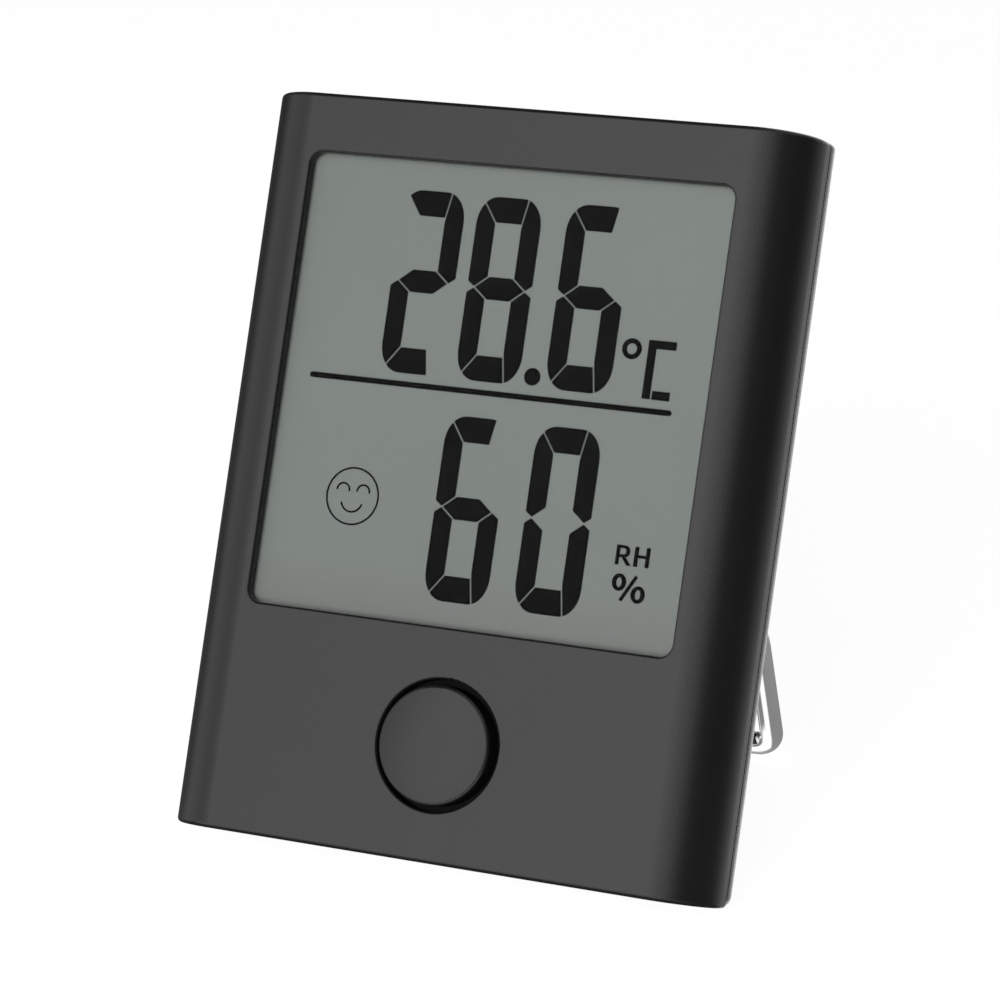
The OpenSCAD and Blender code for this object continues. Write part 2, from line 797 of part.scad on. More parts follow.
// Half of the bent wire about its hinge line, folded straight down
module half_wire() {
  // Crossbar and lower bend
  translate([-0.01, 0, -leg_len]) rotate([0, 90, 0]) cylinder(r = wire_r, h = leg_x - foot_bend + 0.01);
  translate([leg_x - foot_bend, 0, foot_bend - leg_len]) rotate([90, 0, 0]) rotate([0, 0, -90])
    rotate_extrude(angle = 90) translate([foot_bend, 0]) circle(wire_r);
  // Leg
  translate([leg_x, 0, foot_bend - leg_len]) cylinder(r = wire_r, h = leg_len - foot_bend - pin_bend);
  // Upper bend and hinge pin
  translate([pin_x, 0, -pin_bend]) rotate([90, 0, 0]) rotate([0, 0, 90])
    rotate_extrude(angle = 90) translate([pin_bend, 0]) circle(wire_r);
  translate([pin_x, 0, 0]) rotate([0, 90, 0]) cylinder(r = wire_r, h = pin_len);
}

module wire_stand() {
  color(steel) translate([0, hinge_y, hinge_z]) rotate([open_angle, 0, 0]) both() half_wire();
}

// Leans the case back on its stand and sets it on the table over the origin
module place() {
  translate([0, -middle_y, -floor_z]) rotate([-lean, 0, 0]) children();
}

place() front_shell();
place() rear_cover();
place() window_lens();
place() lens_tape();
place() lcd_front_film();
place() lcd_front_glass();
place() lcd_rear_glass();
place() lcd_reflector();
place() lcd_foam();
place() zebra_strip();
place() button_cap();
place() switch_plunger();
place() switch_body();
place() main_board();
place() chip_cover();
place() clock_crystal();
place() board_parts();
place() humidity_sensor();
place() thermistor();
place() board_screws();
place() contact_minus();
place() contact_plus();
place() coin_cell();
place() battery_door();
place() magnets();
place() case_screws();
place() wire_stand();
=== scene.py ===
"""Looks of a desk temperature and humidity sensor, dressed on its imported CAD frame."""
import json
import math

import bmesh
import bpy
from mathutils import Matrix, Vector


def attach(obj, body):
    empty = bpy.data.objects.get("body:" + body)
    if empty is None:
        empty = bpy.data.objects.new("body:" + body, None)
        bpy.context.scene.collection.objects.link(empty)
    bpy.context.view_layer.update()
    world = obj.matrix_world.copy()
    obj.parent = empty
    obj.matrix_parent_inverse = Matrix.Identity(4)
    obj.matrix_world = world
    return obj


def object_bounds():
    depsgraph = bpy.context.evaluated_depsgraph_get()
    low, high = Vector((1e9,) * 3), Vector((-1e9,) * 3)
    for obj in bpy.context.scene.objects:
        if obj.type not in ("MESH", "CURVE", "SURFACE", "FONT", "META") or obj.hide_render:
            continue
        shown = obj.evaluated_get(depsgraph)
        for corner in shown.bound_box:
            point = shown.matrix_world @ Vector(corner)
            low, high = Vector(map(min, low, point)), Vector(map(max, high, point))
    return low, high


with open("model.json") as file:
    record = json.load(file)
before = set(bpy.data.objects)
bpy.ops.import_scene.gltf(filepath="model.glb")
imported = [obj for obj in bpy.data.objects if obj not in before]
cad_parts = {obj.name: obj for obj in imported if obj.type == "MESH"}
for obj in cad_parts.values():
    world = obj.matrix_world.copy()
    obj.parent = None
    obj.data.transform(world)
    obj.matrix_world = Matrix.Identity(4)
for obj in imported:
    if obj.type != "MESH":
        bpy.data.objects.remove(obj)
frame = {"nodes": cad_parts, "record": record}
cad_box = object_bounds()
nodes = frame["nodes"]
scene = bpy.context.scene

# Axes of the leaning case: across, back through it and up along it
MM = 0.001
mounts = {mount["name"]: mount for mount in frame["record"]["mounts"]}
across = Vector((1, 0, 0))
back = Vector(mounts["magnet_back"]["axis"]).normalized()
up = back.cross(across) * -1


def span(node):
    """Lowest and highest corner of a node along the case's own axes, in metres."""
    points = [(v.co.dot(across), v.co.dot(back), v.co.dot(up)) for v in nodes[node].data.vertices]
    return [Vector(map(pick, zip(*points))) for pick in (min, max)]


lens_low, lens_high = span("window_lens")
film_low, _ = span("lcd_front_film")
button_low, button_high = span("button_cap")
shell_low, shell_high = span("front_shell")
window_z = (lens_low.z + lens_high.z) / 2
button_z = (button_low.z + button_high.z) / 2
readout_y = (lens_high.y + film_low.y) / 2
front_y = shell_low.y


# Shader nodes

# Range in which nearly all values of a noise lie
NOISE_LOW, NOISE_HIGH = 0.3, 0.7


def new_material(name):
    """A new node material, its node tree and its shader."""
    mat = bpy.data.materials.new(name)
    mat.use_nodes = True
    tree = mat.node_tree
    return mat, tree, tree.nodes["Principled BSDF"]


def noise(tree, scale, detail=3.0):
    """Noise in the object's own coordinates, scale in features for each metre."""
    source = tree.nodes.new("ShaderNodeTexCoord")
    tex = tree.nodes.new("ShaderNodeTexNoise")
    tex.inputs["Scale"].default_value = scale
    tex.inputs["Detail"].default_value = detail
    tree.links.new(source.outputs["Object"], tex.inputs["Vector"])
    return tex.outputs["Fac"]


def ramp(tree, value, low, high, start=NOISE_LOW, end=NOISE_HIGH):
    """Colour that runs from low to high as the value goes from start to end."""
    node = tree.nodes.new("ShaderNodeValToRGB")
    for element, position, colour in zip(node.color_ramp.elements, (start, end), (low, high)):
        element.position = position
        element.color = (*colour, 1)
    tree.links.new(value, node.inputs["Fac"])
    return node.outputs["Color"]


def spread(tree, value, low, high):
    """Number that runs from low to high with a noise value."""
    node = tree.nodes.new("ShaderNodeMapRange")
    node.inputs["From Min"].default_value = NOISE_LOW
    node.inputs["From Max"].default_value = NOISE_HIGH
    node.inputs["To Min"].default_value = low
    node.inputs["To Max"].default_value = high
    tree.links.new(value, node.inputs["Value"])
    return node.outputs["Result"]


def step(tree, value, start, end, low=0.0, high=1.0):
    """Smooth change from low to high as the value goes from start to end."""
    node = tree.nodes.new("ShaderNodeMapRange")
    node.interpolation_type = "SMOOTHSTEP"
    for slot, number in zip(node.inputs[1:5], (start, end, low, high)):
        slot.default_value = number
    tree.links.new(value, node.inputs["Value"])
    return node.outputs["Result"]


def bump(tree, shader, value, height):
    """Relief of a height in metres."""
    node = tree.nodes.new("ShaderNodeBump")
    node.inputs["Distance"].default_value = height
    tree.links.new(value, node.inputs["Height"])
    tree.links.new(node.outputs["Normal"], shader.inputs["Normal"])


def math_node(tree, operation, *values):
    """Math node on sockets or plain numbers."""
    node = tree.nodes.new("ShaderNodeMath")
    node.operation = operation
    for slot, value in zip(node.inputs, values):
        if isinstance(value, (int, float)):
            slot.default_value = value
        else:
            tree.links.new(value, slot)
    return node.outputs[0]


def vector_node(tree, operation, first, second=None):
    """Vector math node on sockets; a dot product gives its number."""
    node = tree.nodes.new("ShaderNodeVectorMath")
    node.operation = operation
    tree.links.new(first, node.inputs[0])
    if second:
        tree.links.new(second, node.inputs[1])
    return node.outputs["Value" if operation == "DOT_PRODUCT" else "Vector"]


def scaled(tree, axis, value):
    """An axis of the case times a number."""
    node = tree.nodes.new("ShaderNodeVectorMath")
    node.operation = "SCALE"
    node.inputs[0].default_value = axis
    tree.links.new(value, node.inputs["Scale"])
    return node.outputs["Vector"]


def blend(tree, factor, first, second):
    """Runs from the first level to the second as the factor goes from 0 to 1."""
    change = math_node(tree, "SUBTRACT", second, first)
    return math_node(tree, "MULTIPLY_ADD", change, factor, first)


def beyond_limits(tree, value, limit):
    """How far a value lies outside the range from minus the limit to the limit."""
    held = math_node(tree, "MAXIMUM", math_node(tree, "MINIMUM", value, limit), -limit)
    return math_node(tree, "SUBTRACT", value, held)


def line_length(tree, x, y):
    """Length of the line (x, y)."""
    squares = math_node(tree, "ADD", math_node(tree, "MULTIPLY", x, x), math_node(tree, "MULTIPLY", y, y))
    return math_node(tree, "SQRT", squares)


def along(tree, axis):
    """Place of the shaded point along an axis of the case, in metres."""
    source = tree.nodes.new("ShaderNodeTexCoord")
    node = tree.nodes.new("ShaderNodeVectorMath")
    node.operation = "DOT_PRODUCT"
    node.inputs[1].default_value = axis
    tree.links.new(source.outputs["Object"], node.inputs[0])
    return node.outputs["Value"]


# Materials

# Share by which the roughness of a surface varies
ROUGH_VARY = 0.05
# Radii of the front's rounded sides, of the button cap and of its well
FRONT_R, CAP_R, WELL_R = 6 * MM, 6.02 * MM, 6.66 * MM
# Between which limits the masks of painted shade in the openings change: depth behind the front, and distance
# from the middles
WALL_DEPTH = 0.05 * MM, 0.16 * MM
WELL_EDGE = WELL_R + 0.35 * MM, WELL_R + 0.25 * MM
WINDOW_EDGE = 24.2 * MM, 24.1 * MM
CAP_EDGE = CAP_R - 0.02 * MM, CAP_R - 0.1 * MM
# Share of the gloss that the walls of the window lose to painted shade
WINDOW_PAINTED_SHADE = 0.5
# How near the mesh normal must be to the true one, as a cosine, for the true one to be taken
SIDE_NEAR = 0.984, 0.99
# Painted shade along the lower edge of the display film: its range under the middle of the window and its
# tint
FILM_EDGE = -23.6 * MM, -17 * MM
FILM_PAINTED_SHADE = 0.95, 0.9, 0.92


def surface(
    name, colour, rough, vary=0.08, patch=300, grain=6000, relief=0.0, metal=0.0, specular=0.5, gap=None
):
    """Material with drifting tint, uneven gloss and a fine relief; the mask of a gap, where given, dims its
    gloss as painted shade.
    """
    mat, tree, shader = new_material(name)
    low = [c * (1 - vary) for c in colour]
    high = [c * (1 + vary) for c in colour]
    tree.links.new(ramp(tree, noise(tree, patch), low, high), shader.inputs["Base Color"])
    fine = noise(tree, grain, detail=5)
    if rough:
        gloss = spread(tree, fine, rough * (1 - ROUGH_VARY), rough * (1 + ROUGH_VARY))
        tree.links.new(gloss, shader.inputs["Roughness"])
    else:
        shader.inputs["Roughness"].default_value = 0
    shader.inputs["Metallic"].default_value = metal
    shader.inputs["Specular IOR Level"].default_value = specular
    if relief:
        bump(tree, shader, fine, relief)
    # Painted shade: the gap mask dims the gloss where the walls of the openings get little light
    if gap:
        shaded_gloss = math_node(tree, "MULTIPLY", gap(tree), specular)
        tree.links.new(shaded_gloss, shader.inputs["Specular IOR Level"])
    return mat


def button_distance(tree):
    """Distance from the middle line of the button, in metres."""
    rise = math_node(tree, "SUBTRACT", along(tree, up), button_z)
    return line_length(tree, along(tree, across), rise)


def front_opening_shade(tree):
    """Painted shade: low on the walls of the window and of the button well, which get little light, and 1
    outside.
    """
    depth = math_node(tree, "SUBTRACT", along(tree, back), front_y)
    deep = step(tree, depth, *WALL_DEPTH)
    well = step(tree, button_distance(tree), *WELL_EDGE)
    height = math_node(tree, "ABSOLUTE", math_node(tree, "SUBTRACT", along(tree, up), window_z))
    width = math_node(tree, "ABSOLUTE", along(tree, across))
    window = math_node(tree, "MULTIPLY", step(tree, height, *WINDOW_EDGE), step(tree, width, *WINDOW_EDGE))
    window = math_node(tree, "MULTIPLY", window, WINDOW_PAINTED_SHADE)
    inside = math_node(tree, "MULTIPLY", deep, math_node(tree, "MAXIMUM", well, window))
    return math_node(tree, "SUBTRACT", 1, inside)


def cap_side_shade(tree):
    """Painted shade: 0 on the side of the button cap, which stands in the well, and 1 on its face."""
    return step(tree, button_distance(tree), *CAP_EDGE)


def round_sides(mat):
    """Gives the front's rounded sides their true normals, so that they run into the face without a line."""
    tree = mat.node_tree
    over = beyond_limits(tree, along(tree, across), shell_high.x - FRONT_R)
    depth = math_node(tree, "SUBTRACT", along(tree, back), front_y + FRONT_R)
    depth = math_node(tree, "MINIMUM", depth, 0)
    true = vector_node(tree, "ADD", scaled(tree, across, over), scaled(tree, back, depth))
    true = vector_node(tree, "NORMALIZE", true)
    meshed = tree.nodes.new("ShaderNodeNewGeometry").outputs["Normal"]
    near = step(tree, vector_node(tree, "DOT_PRODUCT", true, meshed), *SIDE_NEAR)
    # Inputs 4 and 5 and output 1 are the vector sockets of the mix node
    mix = tree.nodes.new("ShaderNodeMix")
    mix.data_type = "VECTOR"
    tree.links.new(near, mix.inputs["Factor"])
    tree.links.new(meshed, mix.inputs[4])
    tree.links.new(true, mix.inputs[5])
    normal = vector_node(tree, "NORMALIZE", mix.outputs[1])
    relief = tree.nodes["Principled BSDF"].inputs["Normal"].links[0].from_node
    tree.links.new(normal, relief.inputs["Normal"])


def lens_material():
    """Clear plastic that lets light straight through to the display."""
    mat, tree, shader = new_material("clear_lens")
    tint = ramp(tree, noise(tree, 60), (0.02, 0.021, 0.02), (0.03, 0.031, 0.03))
    tree.links.new(tint, shader.inputs["Base Color"])
    shader.inputs["Roughness"].default_value = 0.05
    shader.inputs["Alpha"].default_value = 0.03
    return mat


def film_material():
    """Grey-green display film, with a little painted shade along the lower edge of the window."""
    mat = surface(
        "display_film", (0.238, 0.262, 0.245), 0.5, vary=0.02, patch=40, grain=9000, specular=0.05
    )
    tree = mat.node_tree
    base = tree.nodes["Principled BSDF"].inputs["Base Color"]
    tint = base.links[0].from_socket
    # Painted shade: the film's colour darkens toward the lower edge of the window
    height = step(tree, math_node(tree, "SUBTRACT", along(tree, up), window_z), *FILM_EDGE)
    shade = ramp(tree, height, FILM_PAINTED_SHADE, (1, 1, 1), start=0, end=1)
    tree.links.new(vector_node(tree, "MULTIPLY", tint, shade), base)
    return mat


CASE_LOOK = dict(colour=(0.011, 0.011, 0.011), rough=0.28, vary=0.04, patch=250, grain=5000)
case_mat = surface("case_plastic", **CASE_LOOK, relief=2e-5)
# The front's gloss carries painted shade on the walls of its window and button well
front_mat = surface("front_plastic", **CASE_LOOK, relief=2e-6, gap=front_opening_shade)
round_sides(front_mat)
# The button's gloss carries painted shade on the side of its cap, in the well
button_mat = surface("button_plastic", **CASE_LOOK, relief=2e-6, gap=cap_side_shade)
film_mat = film_material()
ink_mat = surface(
    "display_segments", (0.0035, 0.004, 0.0035), 0.6, vary=0.15, patch=500, grain=9000, specular=0.02
)
glass_mat = surface("display_glass", (0.5, 0.56, 0.53), 0.1, vary=0.03, patch=80)
tape_mat = surface("black_tape", (0.012, 0.012, 0.012), 0.7, vary=0.1, patch=900, grain=5000, relief=1e-5)
foam_mat = surface("foam", (0.03, 0.03, 0.03), 0.95, vary=0.3, patch=2500, grain=4000, relief=8e-5)
rubber_mat = surface("contact_rubber", (0.6, 0.2, 0.24), 0.7, vary=0.2, patch=1500)
board_mat = surface("board_green", (0.012, 0.09, 0.035), 0.35, vary=0.35, patch=900)
resin_mat = surface("black_resin", (0.01, 0.01, 0.01), 0.25, vary=0.2, patch=700)
sensor_mat = surface("white_ceramic", (0.72, 0.72, 0.68), 0.6, vary=0.04, patch=900)
parts_mat = surface("chip_parts", (0.25, 0.17, 0.09), 0.5, vary=0.3, patch=1200)
steel_mat = surface("steel", (0.34, 0.34, 0.34), 0.32, patch=700, grain=5000, relief=2e-6, metal=1)
brass_mat = surface("gilt_contact", (0.6, 0.42, 0.16), 0.3, patch=700, grain=5000, relief=1e-6, metal=1)
magnet_mat = surface(
    "nickel", (0.31, 0.305, 0.295), 0.25, vary=0.06, patch=900, grain=3000, relief=4e-6, metal=1
)
wire_mat = surface("chrome_wire", (0.95, 0.95, 0.95), 0, vary=0.02, patch=200, metal=1)

finishes = {
    "front_shell": front_mat,
    "rear_cover": case_mat,
    "battery_door": case_mat,
    "button_cap": button_mat,
    "window_lens": lens_material(),
    "lens_tape": tape_mat,
    "lcd_front_film": film_mat,
    "lcd_reflector": film_mat,
    "lcd_front_glass": glass_mat,
    "lcd_rear_glass": glass_mat,
    "lcd_foam": foam_mat,
    "zebra_strip": rubber_mat,
    "switch_plunger": resin_mat,
    "switch_body": steel_mat,
    "main_board": board_mat,
    "chip_cover": resin_mat,
    "clock_crystal": steel_mat,
    "board_parts": parts_mat,
    "humidity_sensor": sensor_mat,
    "thermistor": resin_mat,
    "board_screws": steel_mat,
    "case_screws": steel_mat,
    "contact_minus": brass_mat,
    "contact_plus": brass_mat,
    "coin_cell": steel_mat,
    "magnets": magnet_mat,
    "wire_stand": wire_mat,
}
for node, mat in finishes.items():
    nodes[node].data.materials.clear()
    nodes[node].data.materials.append(mat)


# Read-out: thin plates between lens and film, in mm from the middle of the window

READOUT_T = 0.04 * MM
READOUT_U, READOUT_V = 0.19, -0.05


def on_display(u, v, depth):
    """World place of a point u mm right and v mm up from the middle of the window."""
    aside = across * (u + READOUT_U) * MM
    above = up * (window_z + (v + READOUT_V) * MM)
    return aside + back * (readout_y + depth) + above


def plate(name, shapes):
    """Thin plates from convex outlines, or from strips between an outer and an inner line."""
    mesh = bmesh.new()
    for outer, inner, closed in shapes:
        layers = [
            [[mesh.verts.new(on_display(u, v, depth)) for u, v in line] for line in (outer, inner) if line]
            for depth in (-READOUT_T / 2, READOUT_T / 2)
        ]
        front, rear = layers
        count = len(outer)
        if not inner:
            mesh.faces.new(front[0])
            mesh.faces.new(rear[0])
        for i in range(count if closed else count - 1):
            j = (i + 1) % count
            for k in range(len(front)):
                mesh.faces.new((front[k][i], front[k][j], rear[k][j], rear[k][i]))
            if inner:
                for layer in layers:
                    mesh.faces.new((layer[0][i], layer[0][j], layer[1][j], layer[1][i]))
        if inner and not closed:
            for i in (0, count - 1):
                mesh.faces.new((front[0][i], front[1][i], rear[1][i], rear[0][i]))
    bmesh.ops.recalc_face_normals(mesh, faces=mesh.faces)
    data = bpy.data.meshes.new(name)
    mesh.to_mesh(data)
    data.materials.append(ink_mat)
    piece = bpy.data.objects.new(name, data)
    scene.collection.objects.link(piece)
    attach(piece, "housing")


def arc(cx, cy, rx, ry, start, end, steps=24):
    """Points along an elliptical arc, angles in degrees from the right, counter-clockwise."""
    angles = [math.radians(start + (end - start) * i / steps) for i in range(steps + 1)]
    return [(cx + rx * math.cos(a), cy + ry * math.sin(a)) for a in angles]


def solid(points):
    """Filled shape from a convex outline."""
    return points, None, True


def bar(left, right, low, high):
    """Filled rectangle."""
    return solid([(left, low), (right, low), (right, high), (left, high)])


def ring(cx, cy, outer, inner):
    """Closed ring between two ellipses, each given by its two half widths."""
    return arc(cx, cy, *outer, 0, 360, 48)[:-1], arc(cx, cy, *inner, 0, 360, 48)[:-1], True


def stroke(cx, cy, r, line, start, end):
    """Open band along an arc."""
    wide, narrow = r + line / 2, r - line / 2
    return arc(cx, cy, wide, wide, start, end), arc(cx, cy, narrow, narrow, start, end), False


# Seven-segment digits: one rounded block, split by straight gaps
DIGIT_W, DIGIT_H = 7.1, 18.75
SIDE_BAR, END_BAR = 2.08, 2.6
CORNER_W, CORNER_H = 2.2, 2.9
WAIST, WAIST_HALF, WAIST_TIP, WAIST_BEVEL = 9.3, 1.15, 0.75, 0.6
WAIST_SLOPE, WAIST_NOTCH = 0.8, 0.05
SEGMENT_GAP = 0.15
LIT = {"2": "abged", "8": "abcdefg", "6": "acdefg", "0": "abcdef"}


def digit_block():
    """Outline of a whole digit from its lower left corner, counter-clockwise."""
    points = []
    for cx, cy, start in (
        (DIGIT_W - CORNER_W, DIGIT_H - CORNER_H, 0),
        (CORNER_W, DIGIT_H - CORNER_H, 90),
        (CORNER_W, CORNER_H, 180),
        (DIGIT_W - CORNER_W, CORNER_H, 270),
    ):
        points += arc(cx, cy, CORNER_W, CORNER_H, start, start + 90, 12)
    return points


def clip(points, line, inside, gap):
    """Cuts a convex outline along a line, a gap short of it, and keeps the side of the inside point."""
    (x0, y0), (x1, y1) = line
    length = math.hypot(x1 - x0, y1 - y0)

    def beyond(p):
        """Distance of a point from the line, with a sign for its side."""
        return ((x1 - x0) * (p[1] - y0) - (y1 - y0) * (p[0] - x0)) / length

    sign = math.copysign(1, beyond(inside))
    kept = []
    for p, q in zip(points, points[1:] + points[:1]):
        a, b = sign * beyond(p) - gap, sign * beyond(q) - gap
        if a >= 0:
            kept.append(p)
        if a * b < 0:
            t = a / (a - b)
            kept.append((p[0] + (q[0] - p[0]) * t, p[1] + (q[1] - p[1]) * t))
    return kept


def digit_segments():
    """Outlines of the seven segments by letter, from the lower left corner of the digit."""
    w, h = DIGIT_W, DIGIT_H
    middle = h - WAIST
    slant = (SIDE_BAR - WAIST_TIP) * WAIST_SLOPE
    # Lines between two neighbouring segments, from the outside of the digit inward
    splits = {
        "af": ((0.85, h - 0.85), (SIDE_BAR, h - END_BAR)),
        "ab": ((w - 1.66, h - 0.26), (w - SIDE_BAR, h - END_BAR)),
        "de": ((0.8, 0.9), (SIDE_BAR, END_BAR)),
        "cd": ((w - 1.7, 0.25), (w - SIDE_BAR, END_BAR)),
        "fg": ((WAIST_TIP, middle), (SIDE_BAR, middle + slant)),
        "bg": ((w - WAIST_TIP, middle), (w - SIDE_BAR, middle + slant)),
        "eg": ((WAIST_TIP, middle), (SIDE_BAR, middle - slant)),
        "cg": ((w - WAIST_TIP, middle), (w - SIDE_BAR, middle - slant)),
    }
    # Inner and waist edges of each segment
    edges = {
        "a": [((0, h - END_BAR), (w, h - END_BAR))],
        "d": [((0, END_BAR), (w, END_BAR))],
        "g": [((0, middle + s * WAIST_HALF), (w, middle + s * WAIST_HALF)) for s in (1, -1)],
    }
    for letter, x, s in (("f", 0, 1), ("e", 0, -1), ("b", w, 1), ("c", w, -1)):
        inward = 1 if x == 0 else -1
        tip = x + inward * WAIST_TIP
        edges[letter] = [
            ((x + inward * SIDE_BAR, 0), (x + inward * SIDE_BAR, h)),
            ((x, middle + s * WAIST_BEVEL), (tip, middle + s * WAIST_NOTCH)),
        ]
    # A point inside each segment
    centres = {
        "a": (w / 2, h - 1),
        "b": (w - 1, h * 0.75),
        "c": (w - 1, h * 0.25),
        "d": (w / 2, 1),
        "e": (1, h * 0.25),
        "f": (1, h * 0.75),
        "g": (w / 2, middle),
    }
    outlines = {}
    for letter, centre in centres.items():
        points = digit_block()
        for line in edges[letter]:
            points = clip(points, line, centre, 0)
        for pair, line in splits.items():
            if letter in pair:
                points = clip(points, line, centre, SEGMENT_GAP / 2)
        outlines[letter] = points
    return outlines


segments = digit_segments()


def digit(figure, left, low):
    """Lit segments of a figure, from the lower left corner of its digit."""
    return [solid([(left + x, low + y) for x, y in segments[letter]]) for letter in LIT[figure]]


# Temperature with its decimal point, and humidity
TOP_ROW, LOW_ROW = 1.74, -20.66
plate("readout_temperature", [
    *digit("2", -13.27, TOP_ROW),
    *digit("8", -4.75, TOP_ROW),
    *digit("6", 5.15, TOP_ROW),
    solid(arc(3.74, 2.77, 0.89, 0.89, 0, 360)[:-1]),
])
plate("readout_humidity", [*digit("6", -4.85, LOW_ROW), *digit("0", 5.1, LOW_ROW)])

# Degree sign and C
plate("readout_degree", [
    ring(13.98, 6.6, (1.05, 1.05), (0.54, 0.54)),
    bar(15.7, 16.58, 1.8, 7.67),
    bar(16.58, 18.67, 6.83, 7.67),
    bar(16.74, 18.65, 1.78, 2.66),
])

# Dividing line with round ends
LINE_LEFT, LINE_RIGHT, LINE_V, LINE_R = -20.62, 18.82, 0.63, 0.29
plate("readout_divider", [solid(
    arc(LINE_LEFT, LINE_V, LINE_R, LINE_R, 90, 270, 8) + arc(LINE_RIGHT, LINE_V, LINE_R, LINE_R, -90, 90, 8)
)])

# Plain comfort sign
FACE_U, FACE_V, FACE_R, FACE_LINE = -14.15, -11.29, 2.9, 0.18
plate("readout_comfort", [
    stroke(FACE_U, FACE_V, FACE_R, FACE_LINE, 0, 360),
    stroke(FACE_U - 1.13, FACE_V + 0.56, 0.69, FACE_LINE, -8, 184),
    stroke(FACE_U + 1.13, FACE_V + 0.56, 0.69, FACE_LINE, -8, 184),
    stroke(FACE_U, FACE_V - 0.42, 1.19, FACE_LINE, 193, 347),
])

# Unit signs of the humidity: R, H and the percent sign
SIGN_LOW, SIGN_HIGH = -14.77, -12.79
ZERO_OUTER, ZERO_INNER = (0.76, 0.86), (0.28, 0.48)
SLASH_HALF = 0.18
bowl_outer = [(15.74, SIGN_HIGH), *arc(16.22, -13.4, 0.61, 0.61, 90, -90), (15.74, -14.01)]
bowl_inner = [(15.74, -13.1), *arc(16.2, -13.4, 0.2, 0.3, 90, -90), (15.74, -13.7)]
slash_low, slash_high = Vector((16.43, -18.26)), Vector((17.86, -15.7))
side = (slash_high - slash_low).orthogonal().normalized() * SLASH_HALF
plate("readout_unit", [
    bar(15.34, 15.74, SIGN_LOW, SIGN_HIGH),
    (bowl_outer, bowl_inner, False),
    solid([(16.0, -14.01), (16.58, SIGN_LOW), (17.06, SIGN_LOW), (16.46, -14.01)]),
    bar(17.3, 17.73, SIGN_LOW, SIGN_HIGH),
    bar(18.53, 18.95, SIGN_LOW, SIGN_HIGH),
    bar(17.73, 18.53, -13.9, -13.59),
    ring(16.08, -16.46, ZERO_OUTER, ZERO_INNER),
    ring(18.22, -17.5, ZERO_OUTER, ZERO_INNER),
    solid([slash_low + side, slash_low - side, slash_high - side, slash_high + side]),
])


# Studio: light walls in front and behind, dim ones at the sides and a dark ceiling

# Direction in degrees, 0 in front and 90 at the right, and how bright the studio is there
STUDIO = [
    (-180, 1.6), (-170, 1.3), (-160, 0.3), (-150, 0.06), (-125, 0.05), (-110, 0.06), (-98, 0.18),
    (-84, 0.82), (-65, 0.9), (-50, 0.77), (-40, 0.95), (-34, 1.05), (-28, 2.2), (-12, 1.75),
    (5, 1.2), (22, 0.9), (35, 0.43), (48, 0.07), (75, 0.04), (100, 0.04), (115, 0.09),
    (130, 0.31), (145, 0.47), (156, 0.44), (163, 0.42), (170, 1.5), (180, 1.6),
]
# Dark ceiling, by the height of the direction
CEILING_EDGE, CEILING_LEVEL = (0.66, 0.86), 0.03
# Soft light overhead at the right, for the top of the case: where it comes in by height and from the left
TOP_RISE, TOP_SIDE, TOP_LEVEL = (0.5, 0.7), (-0.25, 0.0), 0.5
# Painted light and shadow on the floor round each foot of the stand, near it and farther off, which only the
# mirror-bright wire shows
FOOT_NEAR = [(-180, 0.2), (-115, 0.2), (-95, 1.08), (12, 1.08), (25, 0.2), (180, 0.2)]
FOOT_FAR = [(-180, 0.2), (-32, 0.2), (-20, 1.08), (12, 1.08), (25, 0.2), (180, 0.2)]
FOOT_CHANGE, FOOT_REACH = (0.004, 0.006), (0.05, 0.04)
FOOT_SHADE, FOOT_LEVEL = (0.00156, 0.00084), 0.2
# Painted shade on the floor at the foot of the case, seen only in reflections: its fade, its narrowing in
# front and at the left, its rear end
EDGE_FADE, EDGE_FRONT, EDGE_LEFT = (0.0042, 0.00294), 0.45, 0.3
EDGE_REAR, EDGE_LEVEL = (-0.018, -0.02), 0.03
# Painted dark reflection: floor farther off in front, by direction, and where it goes dark
FRONT_DARK = [(-180, 0), (-45, 0), (-33, 1), (35, 1), (50, 0), (180, 0)]
DARK_FADE, DARK_LEVEL = (0.03, 0.05), 0.08
# Footprint of the case and of the stand, from which directions over the floor are taken
SIDE_X, SIDE_Y, FRONT_Y = 0.029, -0.022, -0.0265
LEG_X, FOOT_Y = 0.0179, 0.0249


def place(tree, coordinate):
    """The three parts of a coordinate."""
    source = tree.nodes.new("ShaderNodeTexCoord")
    split = tree.nodes.new("ShaderNodeSeparateXYZ")
    tree.links.new(source.outputs[coordinate], split.inputs[0])
    return split.outputs


def sector_level(tree, x, y, sectors):
    """Level by the direction of (x, y), from a list of directions and levels."""
    toward = math_node(tree, "MULTIPLY", y, -1)
    angle = math_node(tree, "ARCTAN2", x, toward)
    share = math_node(tree, "MULTIPLY_ADD", angle, 1 / (2 * math.pi), 0.5)
    top = max(level for _, level in sectors)
    walls = tree.nodes.new("ShaderNodeValToRGB")
    tree.links.new(share, walls.inputs["Fac"])
    stops = walls.color_ramp.elements
    stops.remove(stops[1])
    for i, (azimuth, level) in enumerate(sectors):
        stop = stops[0] if i == 0 else stops.new(azimuth / 360 + 0.5)
        stop.position = azimuth / 360 + 0.5
        stop.color = (level / top,) * 3 + (1,)
    return math_node(tree, "MULTIPLY", walls.outputs["Color"], top)


def seen_straight(tree, path):
    """1 for rays that come from the camera straight or through the lens."""
    return math_node(tree, "MAXIMUM", path.outputs["Is Camera Ray"], path.outputs["Is Transmission Ray"])


# Floor: white to the camera with a share that keeps the shadow, glowing in reflections with the studio's
# levels and painted shade, dim as a bounce
FLOOR_HALF = 3.0
SHADOW_SHARE, FLOOR_WHITE = 0.2, 0.945
BOUNCE = 0.4
floor_mat, tree, unused_shader = new_material("pale_floor")
tree.nodes.remove(unused_shader)
path = tree.nodes.new("ShaderNodeLightPath")
spot = place(tree, "Object")
aside = beyond_limits(tree, spot["X"], SIDE_X)
level = sector_level(tree, aside, math_node(tree, "SUBTRACT", spot["Y"], SIDE_Y), STUDIO)
